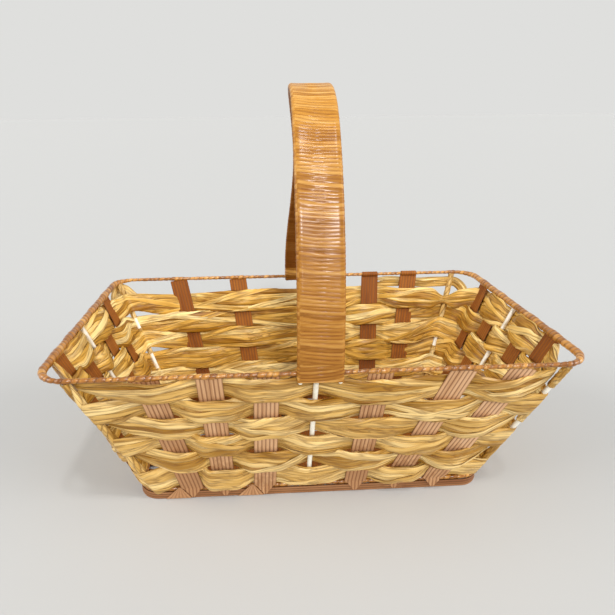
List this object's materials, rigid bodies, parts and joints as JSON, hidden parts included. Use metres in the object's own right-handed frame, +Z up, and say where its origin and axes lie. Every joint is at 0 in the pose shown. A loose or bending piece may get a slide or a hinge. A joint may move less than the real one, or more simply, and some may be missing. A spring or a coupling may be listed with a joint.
{
  "type": "trug basket",
  "caption": "Rectangular flared trug basket woven from soft plant-fibre ribbons over strap stakes on a wound wire frame, with one flat wound handle arched across its middle.",
  "frame": {"origin": "middle of the underside, on the surface that the basket stands on", "axes": "+X along the basket's length, +Y towards its back, +Z up"},
  "size_m": [0.3536, 0.2116, 0.2912],
  "materials": {
    "coated_wire": "steel wire in a smooth cream white coating, semi-gloss",
    "rim_strip": "narrow copper-brown plant-fibre strip wound turn beside turn, satin lacquer",
    "edge_band": "brown wood-fibre band with fine lengthwise flutes, satin",
    "fluted_strap": "fluted pinkish brown wood-fibre strap, matt to satin",
    "weaver_ribbon": "pressed bundle of straw-gold leaf ribbons with lengthwise creases, satin lacquer",
    "handle_strip": "amber plant-fibre strip wound turn beside turn under glossy varnish"
  },
  "bodies": {
    "root": {"rim_wire": "coated_wire", "rim_winding": "rim_strip", "base_wire": "coated_wire", "base_winding": "rim_strip", "base_edge_band": "edge_band", "corner_post_1": "coated_wire", "corner_post_2": "coated_wire", "corner_post_3": "coated_wire", "corner_post_4": "coated_wire", "middle_post_front": "coated_wire", "middle_post_right": "coated_wire", "middle_post_back": "coated_wire", "middle_post_left": "coated_wire", "front_stake_1": "fluted_strap", "front_stake_2": "fluted_strap", "front_stake_3": "fluted_strap", "front_stake_4": "fluted_strap", "front_stake_5": "fluted_strap", "front_stake_6": "fluted_strap", "right_stake_1": "fluted_strap", "right_stake_2": "fluted_strap", "right_stake_3": "fluted_strap", "right_stake_4": "fluted_strap", "back_stake_1": "fluted_strap", "back_stake_2": "fluted_strap", "back_stake_3": "fluted_strap", "back_stake_4": "fluted_strap", "back_stake_5": "fluted_strap", "left_stake_1": "fluted_strap", "left_stake_2": "fluted_strap", "left_stake_3": "fluted_strap", "left_stake_4": "fluted_strap", "weaver_row_1": "weaver_ribbon", "weaver_row_2": "weaver_ribbon", "weaver_row_3": "weaver_ribbon", "weaver_row_4": "weaver_ribbon", "weaver_row_5": "weaver_ribbon", "weaver_row_6": "weaver_ribbon", "base_long_strap_1": "fluted_strap", "base_long_strap_2": "fluted_strap", "base_long_strap_3": "fluted_strap", "base_long_strap_4": "fluted_strap", "base_long_strap_5": "fluted_strap", "base_cross_strap_1": "fluted_strap", "base_cross_strap_2": "fluted_strap", "base_cross_strap_3": "fluted_strap", "base_cross_strap_4": "fluted_strap", "base_cross_strap_5": "fluted_strap", "base_cross_strap_6": "fluted_strap", "base_cross_strap_7": "fluted_strap", "base_cross_strap_8": "fluted_strap", "base_cross_strap_9": "fluted_strap", "handle_wire_left": "coated_wire", "handle_wire_right": "coated_wire", "handle_winding": "handle_strip", "handle_lashing_front": "handle_strip", "handle_lashing_back": "handle_strip"}
  },
  "joints": []
}
